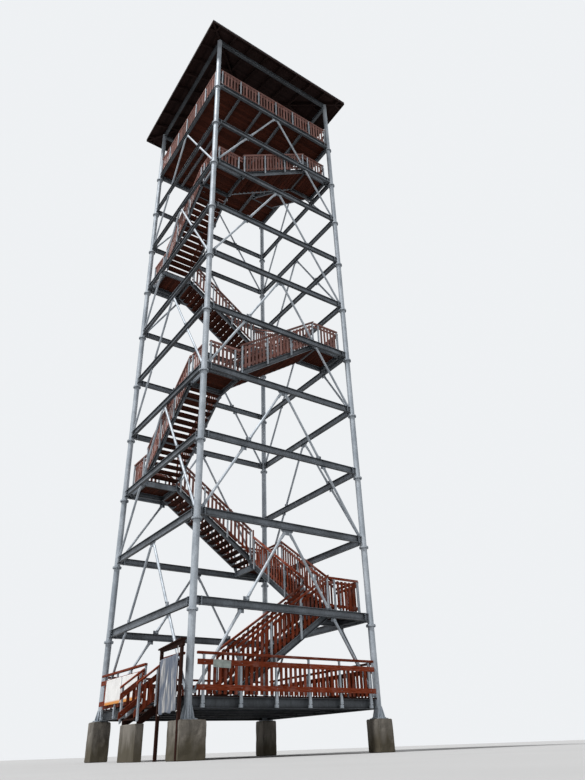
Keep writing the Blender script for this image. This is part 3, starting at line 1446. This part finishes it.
def make_roof_seams():
    """Standing seams up each side, caps on the hips, and a drip edge under the eaves."""
    s = settings("roof")
    seams = Assembly("roof_seams", roof_sheet, 5000)
    reach, slope, top = MIDDLE + s.eaves, math.tan(s.pitch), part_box("roof")[1].z
    base = top - reach * slope
    around = {"start": (MIDDLE, MIDDLE, 0), "turn_step": (0, 0, QUARTER)}
    inset, thin, sunk, proud = 0.01, 0.006, 0.004, 0.028
    foot = base + inset * slope
    count = math.floor(2 * reach / s.seam_pitch)
    side = (count - 1) / 2 * s.seam_pitch
    for x in spread(-side, side, count):
        run = reach - abs(x) - 0.08
        if run > 0.1:
            # drawn along X from the eaves, then turned to climb away from them
            seam = board((-reach + inset, -x - thin, foot - sunk), (-reach + run, -x + thin, foot + proud),
                         slope=slope, eased=0.002)
            seams.row(seam, 4, turn=(0, 0, QUARTER), **around)
    long, fall, wide = reach * math.sqrt(2), slope / math.sqrt(2), 0.075
    start = 1.45 * wide
    cap = board((-long + start, -wide, base - 0.022 + start * fall),
                (-0.12, wide, base + 0.006 + start * fall), slope=fall, eased=0.003)
    seams.row(cap, 4, turn=(0, 0, QUARTER / 2), **around)
    peak = turned([(0.24, top - 0.085), (0.24, top - 0.078), (0.015, top - 0.0005)], 4)
    seams.row(pattern(peak), start=around["start"])
    seams.settle()
    drip = Assembly("roof_drip_edge", hot_dip_zinc, 5100)
    low = base - s.covering / math.cos(s.pitch)
    drip.row(board((-reach + 0.001, -reach, low - 0.004), (reach - 0.001, -reach + 0.002, base - 0.004),
                   eased=0.0005), 4, **around)
    drip.settle()


def make_roof_timbers():
    """Rafters, hips and the boards over their ends."""
    for node in ("rafters", "fascia"):
        timbers = Carving(f"{node}_timber", roof_softwood)
        for bm in solids_of(node):
            timbers.take(bm, eased=0.004)
        timbers.settle(0, (node,))


class TOWER_OT_roof(bpy.types.Operator):
    """Rafters, boards, sheet and seams of the roof"""
    bl_idname = "tower.roof"
    bl_label = "Roof"

    def execute(self, context):
        make_roof_timbers()
        make_roof_covering()
        make_roof_seams()
        return {"FINISHED"}


# Stage

def make_floor():
    """Pale floor under the tower."""
    reach = 400.0
    corners = [(-reach, -reach, 0), (reach, -reach, 0), (reach, reach, 0), (-reach, reach, 0)]
    mesh = bpy.data.meshes.new("floor")
    mesh.from_pydata(corners, [], [(0, 1, 2, 3)])
    mesh.materials.append(finish(pale_floor))
    put("floor", mesh)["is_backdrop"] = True


def make_light(s):
    """World that lights from all round and shows pale, and one wide lamp from the left."""
    world = bpy.data.worlds.new("studio")
    world.use_nodes = True
    tree = world.node_tree
    tree.nodes.clear()
    path = add(tree, "ShaderNodeLightPath").outputs
    seen = path["Is Camera Ray"]
    for ray in ("Is Glossy Ray", "Is Transmission Ray"):
        seen = add(tree, "ShaderNodeMath", {0: seen, 1: path[ray]}, operation="MAXIMUM")
    light = add(tree, "ShaderNodeBackground", {"Color": (1, 1, 1), "Strength": s.sky})
    shown = add(tree, "ShaderNodeBackground", {"Color": PALE, "Strength": 1.0})
    both = add(tree, "ShaderNodeMixShader", {0: seen, 1: light, 2: shown})
    add(tree, "ShaderNodeOutputWorld", {"Surface": both})
    bpy.context.scene.world = world
    lamp = bpy.data.lights.new("soft_lamp", "SUN")
    lamp.energy = s.lamp
    lamp.angle = s.lamp_width
    towards = Vector((-0.46, -0.08, 1.0))
    put("soft_lamp", lamp).rotation_euler = towards.to_track_quat("Z", "Y").to_euler()


def make_camera(s):
    """Camera where the photo was taken, for a frame of 585 by 780 pixels."""
    a, b, c = s.heading, s.tilt, s.roll
    forward = Vector((math.sin(a) * math.cos(b), math.cos(a) * math.cos(b), math.sin(b)))
    right = Vector((math.cos(a), -math.sin(a), 0))
    up = right.cross(forward)
    right, up = math.cos(c) * right + math.sin(c) * up, math.cos(c) * up - math.sin(c) * right
    data = bpy.data.cameras.new("camera")
    data.sensor_width = 36.0
    data.lens = s.focal_pixels * data.sensor_width / s.photo_height
    data.clip_end = 1000.0
    camera = put("camera", data)
    turn = Matrix((right, up, -forward)).transposed().to_4x4()
    camera.matrix_world = Matrix.Translation(s.place) @ turn
    bpy.context.scene.camera = camera


class TOWER_OT_stage(bpy.types.Operator):
    """Floor, soft light and the camera at the photo's viewing angle"""
    bl_idname = "tower.stage"
    bl_label = "Stage"

    def execute(self, context):
        s = settings("stage")
        make_floor()
        make_light(s)
        make_camera(s)
        context.scene.view_settings.view_transform = "Standard"
        return {"FINISHED"}


SETTINGS = {
    "frame": TowerFrameSizes, "stair": TowerStairSizes, "deck": TowerDeckSizes,
    "roof": TowerRoofSizes, "colours": TowerColours, "stage": TowerStage,
}
OPERATORS = (
    TOWER_OT_stage, TOWER_OT_footings, TOWER_OT_steel, TOWER_OT_stair, TOWER_OT_balustrades,
    TOWER_OT_deck, TOWER_OT_entrance, TOWER_OT_sheets, TOWER_OT_platform, TOWER_OT_roof,
)


class VIEW3D_PT_tower(bpy.types.Panel):
    """Sizes, colours and pieces of the tower"""
    bl_label = "Fire lookout tower"
    bl_space_type = "VIEW_3D"
    bl_region_type = "UI"
    bl_category = "Tower"

    def draw(self, context):
        for kind, group in SETTINGS.items():
            box = self.layout.box()
            box.label(text=group.__doc__)
            for item in group.__annotations__:
                box.prop(settings(kind), item)
        for operator in OPERATORS:
            self.layout.operator(operator.bl_idname)


CLASSES = (*SETTINGS.values(), *OPERATORS, VIEW3D_PT_tower)


def register():
    for item in CLASSES:
        bpy.utils.register_class(item)
    for kind, group in SETTINGS.items():
        setattr(bpy.types.Scene, f"tower_{kind}", PointerProperty(type=group))


def unregister():
    for kind in SETTINGS:
        delattr(bpy.types.Scene, f"tower_{kind}")
    for item in reversed(CLASSES):
        bpy.utils.unregister_class(item)


def main():
    register()
    for operator in OPERATORS:
        getattr(bpy.ops.tower, operator.bl_idname.split(".")[1])()
    boxes = {"cad": CAD_BOX, "visual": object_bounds()}
    {name: [list(corner) for corner in box] for name, box in boxes.items()}


if __name__ == "__main__":
    main()
